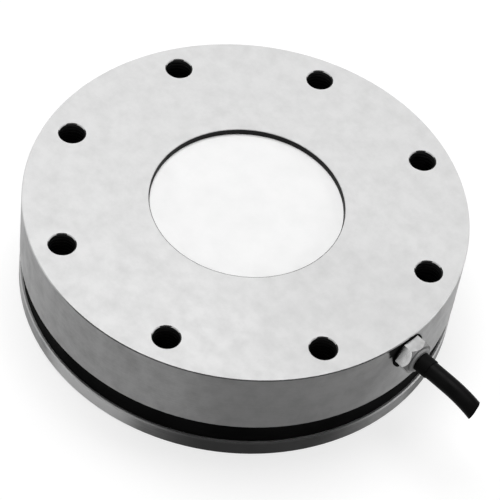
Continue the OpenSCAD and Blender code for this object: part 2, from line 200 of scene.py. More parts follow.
def group_of(name, inputs, outputs=SURFACE):
    """An empty shader node group with these sockets, and its two end nodes."""
    group = bpy.data.node_groups.new(name, "ShaderNodeTree")
    for label, kind, value in inputs:
        socket = group.interface.new_socket(label, in_out="INPUT", socket_type=kind)
        socket.default_value = value
    for label, kind in outputs:
        group.interface.new_socket(label, in_out="OUTPUT", socket_type=kind)
    start = group.nodes.new("NodeGroupInput")
    end = group.nodes.new("NodeGroupOutput")
    return group, start, end


# Moulded grain: fine pits and soft dull patches, for rubber, plastic and film
grain_group, grain_in, grain_out = group_of(
    "Moulded grain",
    [
        ("Place", "NodeSocketVector", (0, 0, 0)),
        ("Colour", "NodeSocketColor", (0.5, 0.5, 0.5, 1)),
        ("Dull Colour", "NodeSocketColor", (0.5, 0.5, 0.5, 1)),
        ("Grain Scale", "NodeSocketFloat", 3000),
        ("Patch Scale", "NodeSocketFloat", 150),
        ("Roughness", "NodeSocketFloat", 0.5),
        ("Depth", "NodeSocketFloat", 0.2),
    ],
)
made = grain_group.nodes
pits = made.new("ShaderNodeTexNoise")
pits.inputs["Detail"].default_value = 3
patches = made.new("ShaderNodeTexNoise")
patches.inputs["Detail"].default_value = 2
spread = made.new("ShaderNodeMapRange")
spread.inputs["From Min"].default_value = 0.35
spread.inputs["From Max"].default_value = 0.65
tint = made.new("ShaderNodeMix")
tint.data_type = "RGBA"
dulling = made.new("ShaderNodeMath")
dulling.operation = "MULTIPLY_ADD"
dulling.inputs[1].default_value = 0.18
bump = made.new("ShaderNodeBump")
bump.inputs["Distance"].default_value = 0.05 * MM
wire = grain_group.links.new
wire(grain_in.outputs["Place"], pits.inputs["Vector"])
wire(grain_in.outputs["Grain Scale"], pits.inputs["Scale"])
wire(grain_in.outputs["Place"], patches.inputs["Vector"])
wire(grain_in.outputs["Patch Scale"], patches.inputs["Scale"])
wire(patches.outputs["Fac"], spread.inputs["Value"])
wire(spread.outputs["Result"], tint.inputs["Factor"])
wire(grain_in.outputs["Colour"], tint.inputs["A"])
wire(grain_in.outputs["Dull Colour"], tint.inputs["B"])
wire(tint.outputs["Result"], grain_out.inputs["Color"])
wire(spread.outputs["Result"], dulling.inputs[0])
wire(grain_in.outputs["Roughness"], dulling.inputs[2])
wire(dulling.outputs["Value"], grain_out.inputs["Roughness"])
wire(pits.outputs["Fac"], bump.inputs["Height"])
wire(grain_in.outputs["Depth"], bump.inputs["Strength"])
wire(bump.outputs["Normal"], grain_out.inputs["Normal"])


def finish_from(effect, settings, name, **sockets):
    """A finish whose colour, roughness and normal come from this effect's group."""
    finish, shader, place = finish_for(name, **sockets)
    effect_node = finish.node_tree.nodes.new("ShaderNodeGroup")
    effect_node.name = "Effect"
    effect_node.node_tree = effect
    for label, value in settings.items():
        effect_node.inputs[label].default_value = value
    join(finish, place.outputs["Object"], effect_node.inputs["Place"])
    join(finish, effect_node.outputs["Color"], shader.inputs["Base Color"])
    join(finish, effect_node.outputs["Roughness"], shader.inputs["Roughness"])
    join(finish, effect_node.outputs["Normal"], shader.inputs["Normal"])
    return finish


def moulded(name, colour, dull, roughness, grain=3000, patch=150, depth=0.2, **sockets):
    """A moulded or lacquered finish: the colour with dull patches and fine pits."""
    settings = {
        "Colour": rgba(colour), "Dull Colour": rgba(dull), "Roughness": roughness,
        "Grain Scale": grain, "Patch Scale": patch, "Depth": depth,
    }
    return finish_from(grain_group, settings, name, **sockets)


jacket_plastic = moulded(
    "black_jacket_plastic", 0.003, 0.005, 0.32,
    grain=2600, patch=220, depth=0.25, Specular_IOR_Level=0.03,
)
cover_with(jacket, jacket_plastic)
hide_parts("cable_jacket")
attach(jacket, "root")

# The cut end. Four insulated cores lie in soft filler inside the braided screen, all cut
# off with the jacket in one slanting cut; copper strands shine in each core's middle.
CORE_D = 1.5 * MM
CORE_PITCH = 1.65 * MM
STRAND_D = 0.26 * MM
STRAND_RING = 0.28 * MM
SCREEN_D = 4.6 * MM
SCREEN_WALL = 0.16 * MM
SCREEN_HOLLOW = 0.12 * MM
FILLER_D = 4.3 * MM
STUB_LENGTH = 1 * MM
STRAND_LENGTH = 0.8 * MM
STRAND_COUNT = 7
# The rounding of a stub's rim, by its diameter, and the sharpness that gets it
STUB_ROUND = 0.05
STUB_SHARP = math.radians(30)
# A face looks along a heading when its normal goes that way by more than FACING
FACING = 0.99
SCREEN_FRONT_AREA = 5 * MM * MM
# How far behind the cut each of them ends
FILLER_BACK = 0.3 * MM
SCREEN_BACK = 0.22 * MM
CORE_BACK = 0.12 * MM
STRAND_BACK = 0.04 * MM
above = Vector((0, 0, 1)) - cut_heading * cut_heading.z
above.normalize()
across = above.cross(cut_heading)
cut_turn = cut_heading.to_track_quat("Z", "Y")


def stub(name, diameter, back, side=0, rise=0, length=STUB_LENGTH, sides=24):
    """A short round stub that ends behind the cut, with a rounded rim."""
    foot = cable_tip + across * side + above * rise - tip_heading * (back + length / 2)
    deselect()
    bpy.ops.mesh.primitive_cylinder_add(
        vertices=sides, radius=diameter / 2, depth=length, location=foot
    )
    piece = bpy.context.object
    piece.name = name
    piece.rotation_mode = "QUATERNION"
    piece.rotation_quaternion = cut_turn
    settle(piece)
    round_edges(piece, diameter * STUB_ROUND, sharp=STUB_SHARP)
    return piece


def pick(piece, kind, wanted):
    """Opens the piece for editing, with the wanted faces or edges selected."""
    work_on(piece)
    bpy.ops.object.mode_set(mode="EDIT")
    bpy.ops.mesh.select_all(action="DESELECT")
    bpy.ops.object.mode_set(mode="OBJECT")
    for part in piece.data.polygons if kind == "FACE" else piece.data.edges:
        part.select = wanted(part)
    bpy.ops.object.mode_set(mode="EDIT")
    bpy.ops.mesh.select_mode(type=kind)


def is_screen_front(face):
    """The large face at the cut, without its rounded rim."""
    return face.normal.dot(cut_heading) > FACING and face.area > SCREEN_FRONT_AREA


filler = stub("cable_filler", FILLER_D, FILLER_BACK)
filler_yarn = moulded(
    "filler_yarn", (0.5, 0.48, 0.43), (0.3, 0.29, 0.26), 0.85, grain=5000, depth=0.6
)
cover_with(filler, filler_yarn)

screen_stub = stub("screen_end", SCREEN_D, SCREEN_BACK, sides=32)
pick(screen_stub, "FACE", is_screen_front)
bpy.ops.mesh.inset(thickness=SCREEN_WALL)
bpy.ops.mesh.extrude_region_move(
    TRANSFORM_OT_translate={"value": -tip_heading * SCREEN_HOLLOW}
)
bpy.ops.object.mode_set(mode="OBJECT")

core_colours = {
    "red": (0.45, 0.02, 0.015), "black": (0.012, 0.012, 0.012),
    "green": (0.02, 0.2, 0.05), "white": (0.75, 0.75, 0.72),
}
core_plastics = {
    colour: moulded(
        f"{colour}_core_plastic", value, tuple(0.8 * v for v in value), 0.4,
        grain=4000, patch=500, depth=0.1,
    )
    for colour, value in core_colours.items()
}
core_corners = {"red": (-1, 1), "black": (-1, -1), "green": (1, -1), "white": (1, 1)}
cut_pieces = [filler, screen_stub]
strand_pieces = []
for colour, (right, up) in core_corners.items():
    side, rise = right * CORE_PITCH / 2, up * CORE_PITCH / 2
    core_end = stub(f"{colour}_core_end", CORE_D, CORE_BACK, side, rise)
    cover_with(core_end, core_plastics[colour])
    cut_pieces.append(core_end)
    # One strand in the middle and the others round it
    for k in range(STRAND_COUNT):
        angle = math.radians(60 * k)
        reach = STRAND_RING if k else 0
        strand_pieces.append(
            stub(
                f"{colour}_strand", STRAND_D, STRAND_BACK,
                side + reach * math.cos(angle), rise + reach * math.sin(angle),
                length=STRAND_LENGTH, sides=10,
            )
        )
deselect()
for strand in strand_pieces:
    strand.select_set(True)
strands = strand_pieces[0]
bpy.context.view_layer.objects.active = strands
bpy.ops.object.join()
strands.name = "copper_strands"
cut_pieces.append(strands)

# Drawn metal: bright, with a faint uneven tarnish, for wire, screws and small turned parts
tarnish_group, tarnish_in, tarnish_out = group_of(
    "Faint tarnish",
    [
        ("Place", "NodeSocketVector", (0, 0, 0)),
        ("Colour", "NodeSocketColor", (0.5, 0.5, 0.5, 1)),
        ("Tarnish", "NodeSocketColor", (0.3, 0.3, 0.3, 1)),
        ("Roughness", "NodeSocketFloat", 0.3),
        ("Scratch Scale", "NodeSocketFloat", 900),
        ("Depth", "NodeSocketFloat", 0.1),
    ],
)
made = tarnish_group.nodes
clouds = made.new("ShaderNodeTexNoise")
clouds.inputs["Scale"].default_value = 260
clouds.inputs["Detail"].default_value = 4
cloud_range = made.new("ShaderNodeMapRange")
cloud_range.inputs["From Min"].default_value = 0.4
cloud_range.inputs["From Max"].default_value = 0.75
scratches = made.new("ShaderNodeTexNoise")
scratches.inputs["Detail"].default_value = 5
tint = made.new("ShaderNodeMix")
tint.data_type = "RGBA"
dulling = made.new("ShaderNodeMath")
dulling.operation = "MULTIPLY_ADD"
dulling.inputs[1].default_value = 0.2
bump = made.new("ShaderNodeBump")
bump.inputs["Distance"].default_value = 0.03 * MM
wire = tarnish_group.links.new
wire(tarnish_in.outputs["Place"], clouds.inputs["Vector"])
wire(tarnish_in.outputs["Place"], scratches.inputs["Vector"])
wire(tarnish_in.outputs["Scratch Scale"], scratches.inputs["Scale"])
wire(clouds.outputs["Fac"], cloud_range.inputs["Value"])
wire(cloud_range.outputs["Result"], tint.inputs["Factor"])
wire(tarnish_in.outputs["Colour"], tint.inputs["A"])
wire(tarnish_in.outputs["Tarnish"], tint.inputs["B"])
wire(tint.outputs["Result"], tarnish_out.inputs["Color"])
wire(cloud_range.outputs["Result"], dulling.inputs[0])
wire(tarnish_in.outputs["Roughness"], dulling.inputs[2])
wire(dulling.outputs["Value"], tarnish_out.inputs["Roughness"])
wire(scratches.outputs["Fac"], bump.inputs["Height"])
wire(tarnish_in.outputs["Depth"], bump.inputs["Strength"])
wire(bump.outputs["Normal"], tarnish_out.inputs["Normal"])


def small_metal(name, colour, tarnish, roughness, metallic=1.0, depth=0.1, scratch=900):
    """A small metal part: its colour, tarnished in soft clouds and finely scratched."""
    settings = {
        "Colour": rgba(colour), "Tarnish": rgba(tarnish), "Roughness": roughness,
        "Scratch Scale": scratch, "Depth": depth,
    }
    return finish_from(tarnish_group, settings, name, Metallic=metallic)


copper = small_metal("cut_copper", (0.75, 0.36, 0.2), (0.4, 0.16, 0.08), 0.25)
tinned_braid = small_metal(
    "tinned_braid", (0.62, 0.62, 0.6), (0.3, 0.3, 0.29), 0.4, depth=0.8, scratch=3500
)
cover_with(strands, copper)
cover_with(screen_stub, tinned_braid)
for piece in cut_pieces:
    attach(piece, "root")

# The sleeve. A short length of black shrink tube on the cable, pushed a little way into
# the gland's nose, so that the cable isn't pinched at the metal.
sleeve = nodes["cable_boot"]
sleeve_rubber = moulded(
    "black_sleeve_rubber", 0.003, 0.005, 0.45,
    grain=2200, patch=400, depth=0.3, Specular_IOR_Level=0.025,
)
cover_with(sleeve, sleeve_rubber)

# The gland screw. A hexagon turned from bright steel bar: threaded shank in the ring's
# side, corners turned off, and a rounded nose that the cable comes out of.
GLAND_Z = 33.3 * MM
GLAND_AF = 11 * MM
HEX_X = 75.4 * MM
HEX_LENGTH = 4.5 * MM
CORNER_ANGLE = math.radians(55)
NOSE_D = 9.4 * MM
NOSE_LENGTH = 1 * MM
NOSE_ROUND = 0.8 * MM
SHANK_D = 9.4 * MM
SHANK_X = 67.7 * MM
GLAND_BORE = 6.9 * MM
BORE_LENGTH = 18 * MM
EDGE_WEAR = 0.14 * MM
GLAND_SMOOTH = math.radians(25)
# The bars run this far into each other, so that they join cleanly
OVERLAP = 1 * MM
ROUND_SIDES = 64
hex_front = HEX_X + HEX_LENGTH
nose_front = hex_front + NOSE_LENGTH
gland_corner_d = GLAND_AF / math.cos(math.radians(30))


def along_cable(name, diameter, start_x, length, sides=ROUND_SIDES):
    """A round or six-sided bar round the cable's straight part."""
    deselect()
    bpy.ops.mesh.primitive_cylinder_add(
        vertices=sides, radius=diameter / 2, depth=length,
        location=(start_x + length / 2, 0, GLAND_Z), rotation=(0, math.radians(90), 0),
    )
    bar = bpy.context.object
    bar.name = name
    settle(bar)
    return bar


def combine(piece, tool, operation):
    """Cuts with, keeps inside, or adds the tool, which is then gone."""
    work_on(piece)
    step = piece.modifiers.new(operation.lower(), "BOOLEAN")
    step.operation = operation
    step.object = tool
    step.solver = "EXACT"
    bpy.ops.object.modifier_apply(modifier=step.name)
    bpy.data.objects.remove(tool)


def add_finish(piece, finish):
    """Gives the piece one more finish, after its main one in slot 0, and returns the
    number of its slot."""
    piece.data.materials.append(finish)
    return len(piece.data.materials) - 1


def is_cone_back(face):
    """The wide end of the turning tool's cone."""
    return face.normal.x < -FACING


def is_nose_rim(edge):
    """The edges round the front of the nose."""
    ends = [nose.data.vertices[v].co.x for v in edge.vertices]
    return all(abs(x - nose_front) < WELD for x in ends)


gland = along_cable("gland_screw_turned", gland_corner_d, HEX_X, HEX_LENGTH, sides=6)
# The turning tool's cone meets the flats' middle at the front and cuts the corners back
TOOL_DROP = 3 * MM
tool_r = GLAND_AF / 2 + TOOL_DROP / math.tan(CORNER_ANGLE)
deselect()
bpy.ops.mesh.primitive_cone_add(
    vertices=96, radius1=tool_r, radius2=GLAND_AF / 2, depth=TOOL_DROP,
    location=(hex_front - TOOL_DROP / 2, 0, GLAND_Z), rotation=(0, math.radians(90), 0),
)
corner_cone = bpy.context.object
settle(corner_cone)
pick(corner_cone, "FACE", is_cone_back)
bpy.ops.mesh.extrude_region_move(TRANSFORM_OT_translate={"value": (-TOOL_DROP, 0, 0)})
bpy.ops.object.mode_set(mode="OBJECT")
combine(gland, corner_cone, "INTERSECT")

nose = along_cable("nose", NOSE_D, hex_front - OVERLAP, NOSE_LENGTH + OVERLAP)
pick(nose, "EDGE", is_nose_rim)
bpy.ops.mesh.bevel(offset=NOSE_ROUND, segments=6)
bpy.ops.object.mode_set(mode="OBJECT")
combine(gland, nose, "UNION")
shank = along_cable("shank", SHANK_D, SHANK_X, HEX_X - SHANK_X + OVERLAP)
combine(gland, shank, "UNION")
bore = along_cable("bore", GLAND_BORE, SHANK_X - OVERLAP, BORE_LENGTH)
combine(gland, bore, "DIFFERENCE")
round_edges(gland, EDGE_WEAR, smooth=GLAND_SMOOTH)
bright_steel = small_metal(
    "bright_bar_steel", 0.74, 0.52, 0.16, metallic=1, depth=0.5, scratch=420
)
# The turned front and nose get a darker, duller copy of the steel: painted shade where
# these faces turn from the light
front_shade_steel = small_metal(
    "painted_shade_front_steel", 0.26, 0.18, 0.45, metallic=0.4, depth=0.4, scratch=600
)
# The top flats get a duller, darker copy of the steel: painted shade, so they don't read
# brighter than the side flats
top_shade_steel = small_metal(
    "painted_shade_top_steel", 0.56, 0.4, 0.6, metallic=0.05, depth=0.6, scratch=420
)
cover_with(gland, bright_steel)
front_slot = add_finish(gland, front_shade_steel)
top_slot = add_finish(gland, top_shade_steel)
# The painted shade reaches this far back on the hexagon's corners, where the faces lean
# forward
SHADE_REACH = 0.9 * MM
LEANING = 0.3
NOSE_FOOT = 0.05 * MM
# A face looks up when its normal's z is over LEVEL
LEVEL = 0.9
for face in gland.data.polygons:
    on_corner = face.center.x > hex_front - SHADE_REACH and face.normal.x > LEANING
    on_nose = face.center.x > hex_front + NOSE_FOOT
    if on_corner or on_nose:
        face.material_index = front_slot
    elif face.normal.z > LEVEL:
        face.material_index = top_slot
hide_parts("gland_screw")
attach(gland, "root")

# Inside the gland. A black sealing washer lies under the hexagon, and behind the shank a
# brass slip washer presses a rubber bush round the cable, where the jacket ends.
seal_rubber = moulded(
    "black_seal_rubber", 0.003, 0.005, 0.7,
    grain=1800, patch=90, depth=0.35, Specular_IOR_Level=0.02,
)
bush_rubber = moulded("grey_bush_rubber", 0.05, 0.07, 0.7, grain=2200, depth=0.4)
turned_brass = small_metal("turned_brass", (0.75, 0.55, 0.24), (0.5, 0.33, 0.13), 0.3)
cover_with(nodes["gland_seal"], seal_rubber)
cover_with(nodes["gland_bush"], bush_rubber)
cover_with(nodes["slip_washer"], turned_brass)
cover_with(nodes["cable_screen"], tinned_braid)
for colour, plastic in core_plastics.items():
    cover_with(nodes[f"{colour}_core"], plastic)

# The load ring. One turned steel piece: outer ring, thin web and hub. Its faces are
# finely turned and then blasted, so they are satin, with faint rings and soft clouds.
turned_group, turned_in, turned_out = group_of(
    "Turned and blasted",
    [
        ("Place", "NodeSocketVector", (0, 0, 0)),
        ("Colour", "NodeSocketColor", (0.5, 0.5, 0.5, 1)),
        ("Stain", "NodeSocketColor", (0.4, 0.4, 0.4, 1)),
        ("Stain Amount", "NodeSocketFloat", 0.5),
        ("Roughness", "NodeSocketFloat", 0.4),
        ("Ring Depth", "NodeSocketFloat", 0.1),
        ("Blast Depth", "NodeSocketFloat", 0.1),
        ("Streaks", "NodeSocketFloat", 0.1),
    ],
)
made = turned_group.nodes
wire = turned_group.links.new
split = made.new("ShaderNodeSeparateXYZ")
flat = made.new("ShaderNodeCombineXYZ")
radius = made.new("ShaderNodeVectorMath")
radius.operation = "LENGTH"
lathe_place = made.new("ShaderNodeCombineXYZ")
wire(turned_in.outputs["Place"], split.inputs["Vector"])
wire(split.outputs["X"], flat.inputs["X"])
wire(split.outputs["Y"], flat.inputs["Y"])
wire(flat.outputs["Vector"], radius.inputs[0])
wire(radius.outputs["Value"], lathe_place.inputs["X"])
wire(split.outputs["Z"], lathe_place.inputs["Y"])
tool_marks = made.new("ShaderNodeTexNoise")
tool_marks.inputs["Scale"].default_value = 1800
tool_marks.inputs["Detail"].default_value = 2
blast = made.new("ShaderNodeTexNoise")
blast.inputs["Scale"].default_value = 2500
blast.inputs["Detail"].default_value = 3
clouds = made.new("ShaderNodeTexNoise")
clouds.inputs["Scale"].default_value = 150
clouds.inputs["Detail"].default_value = 6
clouds.inputs["Roughness"].default_value = 0.68
cloud_range = made.new("ShaderNodeMapRange")
cloud_range.inputs["From Min"].default_value = 0.38
cloud_range.inputs["From Max"].default_value = 0.72
amount = made.new("ShaderNodeMath")
amount.operation = "MULTIPLY"
streak = made.new("ShaderNodeMath")
streak.operation = "SUBTRACT"
streak.inputs[1].default_value = 0.5
streaked = made.new("ShaderNodeMath")
streaked.operation = "MULTIPLY_ADD"
tint = made.new("ShaderNodeMix")
tint.data_type = "RGBA"
dulling = made.new("ShaderNodeMath")
dulling.operation = "MULTIPLY_ADD"
dulling.inputs[1].default_value = 0.12
ring_bump = made.new("ShaderNodeBump")
ring_bump.inputs["Distance"].default_value = 0.02 * MM
blast_bump = made.new("ShaderNodeBump")
blast_bump.inputs["Distance"].default_value = 0.03 * MM
wire(lathe_place.outputs["Vector"], tool_marks.inputs["Vector"])
wire(turned_in.outputs["Place"], blast.inputs["Vector"])
wire(turned_in.outputs["Place"], clouds.inputs["Vector"])
wire(clouds.outputs["Fac"], cloud_range.inputs["Value"])
wire(cloud_range.outputs["Result"], amount.inputs[0])
wire(turned_in.outputs["Stain Amount"], amount.inputs[1])
wire(tool_marks.outputs["Fac"], streak.inputs[0])
wire(streak.outputs["Value"], streaked.inputs[0])
wire(turned_in.outputs["Streaks"], streaked.inputs[1])
wire(amount.outputs["Value"], streaked.inputs[2])
wire(streaked.outputs["Value"], tint.inputs["Factor"])
wire(turned_in.outputs["Colour"], tint.inputs["A"])
wire(turned_in.outputs["Stain"], tint.inputs["B"])
wire(tint.outputs["Result"], turned_out.inputs["Color"])
wire(cloud_range.outputs["Result"], dulling.inputs[0])
wire(turned_in.outputs["Roughness"], dulling.inputs[2])
wire(dulling.outputs["Value"], turned_out.inputs["Roughness"])
wire(tool_marks.outputs["Fac"], ring_bump.inputs["Height"])
wire(turned_in.outputs["Ring Depth"], ring_bump.inputs["Strength"])
wire(blast.outputs["Fac"], blast_bump.inputs["Height"])
wire(turned_in.outputs["Blast Depth"], blast_bump.inputs["Strength"])
wire(ring_bump.outputs["Normal"], blast_bump.inputs["Normal"])
wire(blast_bump.outputs["Normal"], turned_out.inputs["Normal"])


def turned(
    name, colour, stain, amount, roughness, metallic,
    rings=0.15, blasting=0.2, streaks=0.15, **sockets
):
    """A large turned part: rings from the lathe, blasted grain and cloudy stains."""
    settings = {
        "Colour": rgba(colour), "Stain": rgba(stain), "Stain Amount": amount,
        "Roughness": roughness, "Ring Depth": rings, "Blast Depth": blasting,
        "Streaks": streaks,
    }
    return finish_from(turned_group, settings, name, Metallic=metallic, **sockets)


# A patch of painted light or shade on one side of a round part, soft towards its two ends
patch_group, patch_in, patch_out = group_of(
    "Painted light patch on one side",
    [
        ("Place", "NodeSocketVector", (0, 0, 0)),
        ("Colour", "NodeSocketColor", (0.5, 0.5, 0.5, 1)),
        ("Patch Colour", "NodeSocketColor", (0.3, 0.3, 0.3, 1)),
        ("Heading", "NodeSocketVector", (1, 0, 0)),
        ("Begins", "NodeSocketFloat", 0.9),
        ("Full", "NodeSocketFloat", 1),
        ("Strength", "NodeSocketFloat", 1),
    ],
    [("Color", "NodeSocketColor")],
)
made = patch_group.nodes
wire = patch_group.links.new
level_place = made.new("ShaderNodeVectorMath")
level_place.operation = "MULTIPLY"
level_place.inputs[1].default_value = (1, 1, 0)
outward = made.new("ShaderNodeVectorMath")
outward.operation = "NORMALIZE"
near = made.new("ShaderNodeVectorMath")
near.operation = "DOT_PRODUCT"
fade = made.new("ShaderNodeMapRange")
fade.interpolation_type = "SMOOTHSTEP"
tint = made.new("ShaderNodeMix")
tint.data_type = "RGBA"
wire(patch_in.outputs["Place"], level_place.inputs[0])
wire(level_place.outputs["Vector"], outward.inputs[0])
wire(outward.outputs["Vector"], near.inputs[0])
wire(patch_in.outputs["Heading"], near.inputs[1])
wire(near.outputs["Value"], fade.inputs["Value"])
wire(patch_in.outputs["Begins"], fade.inputs["From Min"])
wire(patch_in.outputs["Full"], fade.inputs["From Max"])
wire(patch_in.outputs["Strength"], fade.inputs["To Max"])
wire(fade.outputs["Result"], tint.inputs["Factor"])
wire(patch_in.outputs["Colour"], tint.inputs["A"])
wire(patch_in.outputs["Patch Colour"], tint.inputs["B"])
wire(tint.outputs["Result"], patch_out.inputs["Color"])


def paint_light_patches(finish, patches):
    """Paints patches of light and shade, each given by its heading and its outer and inner
    half widths in degrees, its tone and its strength."""
    tree = finish.node_tree
    colour = tree.nodes["Effect"].outputs["Color"]
    for middle, outer, inner, tone, strength in patches:
        turn = math.radians(middle)
        patch = tree.nodes.new("ShaderNodeGroup")
        patch.node_tree = patch_group
        patch.inputs["Patch Colour"].default_value = rgba(tone)
        patch.inputs["Heading"].default_value = (math.cos(turn), math.sin(turn), 0)
        patch.inputs["Begins"].default_value = math.cos(math.radians(outer))
        patch.inputs["Full"].default_value = math.cos(math.radians(inner))
        patch.inputs["Strength"].default_value = strength
        join(finish, tree.nodes["Place"].outputs["Object"], patch.inputs["Place"])
        join(finish, colour, patch.inputs["Colour"])
        colour = patch.outputs["Color"]
    join(finish, colour, tree.nodes["Principled BSDF"].inputs["Base Color"])


# The painted reflection's outline wanders by this much, at this scale, and its gloss is
# nearly gone
REFLECTION_WANDER = 2.4 * MM
REFLECTION_SCALE = 420
CLEAN_GLOSS = 0.5
REFLECTION_GLOSS = 0.02


def paint_nut_reflection(finish, bounds, tone):
    """Paints a dark reflection inside the bounds, each a heading and where along it the
    dark begins and is full."""
    tree = finish.node_tree
    shader = tree.nodes["Principled BSDF"]
    place = tree.nodes["Place"].outputs["Object"]
    wander = tree.nodes.new("ShaderNodeTexNoise")
    wander.inputs["Scale"].default_value = REFLECTION_SCALE
    moved = tree.nodes.new("ShaderNodeVectorMath")
    moved.operation = "MULTIPLY_ADD"
    moved.inputs[1].default_value = (0, REFLECTION_WANDER, REFLECTION_WANDER)
    join(finish, place, wander.inputs["Vector"])
    join(finish, wander.outputs["Color"], moved.inputs[0])
    join(finish, place, moved.inputs[2])
    inside = None
    for heading, start, full in bounds:
        along = tree.nodes.new("ShaderNodeVectorMath")
        along.operation = "DOT_PRODUCT"
        along.inputs[1].default_value = heading
        fade = tree.nodes.new("ShaderNodeMapRange")
        fade.interpolation_type = "SMOOTHSTEP"
        fade.inputs["From Min"].default_value = start
        fade.inputs["From Max"].default_value = full
        join(finish, moved.outputs["Vector"], along.inputs[0])
        join(finish, along.outputs["Value"], fade.inputs["Value"])
        if inside is not None:
            join(finish, inside, fade.inputs["To Max"])
        inside = fade.outputs["Result"]
    mix = tree.nodes.new("ShaderNodeMix")
    mix.data_type = "RGBA"
    mix.inputs["B"].default_value = rgba(tone)
    join(finish, shader.inputs["Base Color"].links[0].from_socket, mix.inputs["A"])
    join(finish, inside, mix.inputs["Factor"])
    join(finish, mix.outputs["Result"], shader.inputs["Base Color"])
    gloss = tree.nodes.new("ShaderNodeMapRange")
    gloss.inputs["To Min"].default_value = CLEAN_GLOSS
    gloss.inputs["To Max"].default_value = REFLECTION_GLOSS
    join(finish, inside, gloss.inputs["Value"])
    join(finish, gloss.outputs["Result"], shader.inputs["Specular IOR Level"])


RING_TOP = 40 * MM
RING_R = 75 * MM
CORNER_HEIGHT = 0.4 * MM
# Only faces that lie within this margin of the outside get another finish
MARGIN = 1 * MM
# A face is upright when its normal's z is under UPRIGHT
UPRIGHT = 0.2
ring_steel = turned("satin_ring_steel", 0.64, 0.5, 0.5, 0.46, 0.1)
ring_side_steel = turned("satin_ring_side_steel", 0.66, 0.4, 0.6, 0.46, 0.1, streaks=0.5)
# The broken top edge gets a painted highlight, and painted shade on one side
rim_light_and_shade = turned("painted_light_rim_steel", 0.8, 0.65, 0.3, 0.35, 0.1)
# Painted shade: the top is darker on the side towards heading -10 degrees
paint_light_patches(ring_steel, [(-10, 44, 8, 0.3, 0.12)])
# Painted shade: the side is darker round heading -31 degrees, where it faces the front
paint_light_patches(ring_side_steel, [(-31, 34, 10, 0.26, 0.5)])
paint_light_patches(rim_light_and_shade, [(-50, 56, 38, 0.04, 1)])
# A dark reflection of the gland nut is painted on the side next to the gland, in a
# triangle under the rim. The bounds allow for the 1.2 mm that its whole outline wanders
NUT_REFLECTION_BOUNDS = [
    ((0, 0.909, 0.417), 8.7 * MM, 9.7 * MM),
    ((0, 0, 1), 33 * MM, 34 * MM),
    ((0, -1, 0), -0.7 * MM, 0.3 * MM),
    ((1, 0, 0), 60 * MM, 65 * MM),
]
paint_nut_reflection(ring_side_steel, NUT_REFLECTION_BOUNDS, 0.004)
load_ring = nodes["load_ring"]
cover_with(load_ring, ring_steel)
rim_slot = add_finish(load_ring, rim_light_and_shade)
ring_side_slot = add_finish(load_ring, ring_side_steel)
for face in load_ring.data.polygons:
    if face.center.xy.length < RING_R - MARGIN:
        continue
    if UPRIGHT < face.normal.z < LEVEL and face.center.z > RING_TOP - CORNER_HEIGHT:
        face.material_index = rim_slot
    if abs(face.normal.z) < UPRIGHT:
        face.material_index = ring_side_slot

# The threads. Each mounting hole is tapped for an M10 screw, and the crests of the thread
# stand in from the bored wall as one long helix of 1.5 mm pitch.
BOLT_CIRCLE_R = 65 * MM
BOLT_COUNT = 8
BORE_R = 4.5 * MM
THREAD_PITCH = 1.5 * MM
THREAD_CREST_R = 4.12 * MM
THREAD_ROOT_R = 4.44 * MM
THREAD_TURNS = 10
THREAD_STEPS = 32
THREAD_BACK = 0.4 * MM
CREST_FLAT = 0.2 * MM
FIRST_HOLE = 22.5
HOLE_STEP = 45

deselect()
bpy.ops.mesh.primitive_plane_add(size=1, location=(0, 0, 0))
thread = bpy.context.object
thread.name = "mounting_thread_1"
thread_foot = RING_TOP - THREAD_BACK - (THREAD_TURNS + 1) * THREAD_PITCH
flank = [
    (THREAD_ROOT_R, 0), (THREAD_CREST_R, THREAD_PITCH / 2 - CREST_FLAT / 2),
    (THREAD_CREST_R, THREAD_PITCH / 2 + CREST_FLAT / 2), (THREAD_ROOT_R, THREAD_PITCH),
]
# The plane's four corners become one pitch of the profile, without the closing edge
corner_order = [0, 1, 3, 2]
for corner, (r, z) in zip(corner_order, flank):
    thread.data.vertices[corner].co = (r, 0, z)
work_on(thread)
bpy.ops.object.mode_set(mode="EDIT")
bpy.ops.mesh.select_all(action="SELECT")
bpy.ops.mesh.delete(type="ONLY_FACE")
closing_edge = {corner_order[0], corner_order[-1]}
pick(thread, "EDGE", lambda edge: set(edge.vertices) == closing_edge)
bpy.ops.mesh.delete(type="EDGE")
bpy.ops.object.mode_set(mode="OBJECT")
helix = thread.modifiers.new("helix", "SCREW")
helix.axis = "Z"
helix.angle = math.radians(360)
helix.screw_offset = THREAD_PITCH
helix.iterations = THREAD_TURNS
helix.steps = helix.render_steps = THREAD_STEPS
helix.use_merge_vertices = True
helix.merge_threshold = WELD
bpy.ops.object.modifier_apply(modifier=helix.name)
bpy.ops.object.mode_set(mode="EDIT")
bpy.ops.mesh.select_all(action="SELECT")
bpy.ops.mesh.remove_doubles(threshold=0.005 * MM)
bpy.ops.mesh.normals_make_consistent(inside=True)
bpy.ops.object.mode_set(mode="OBJECT")
bpy.ops.object.shade_smooth_by_angle(angle=SMOOTH_ANGLE)

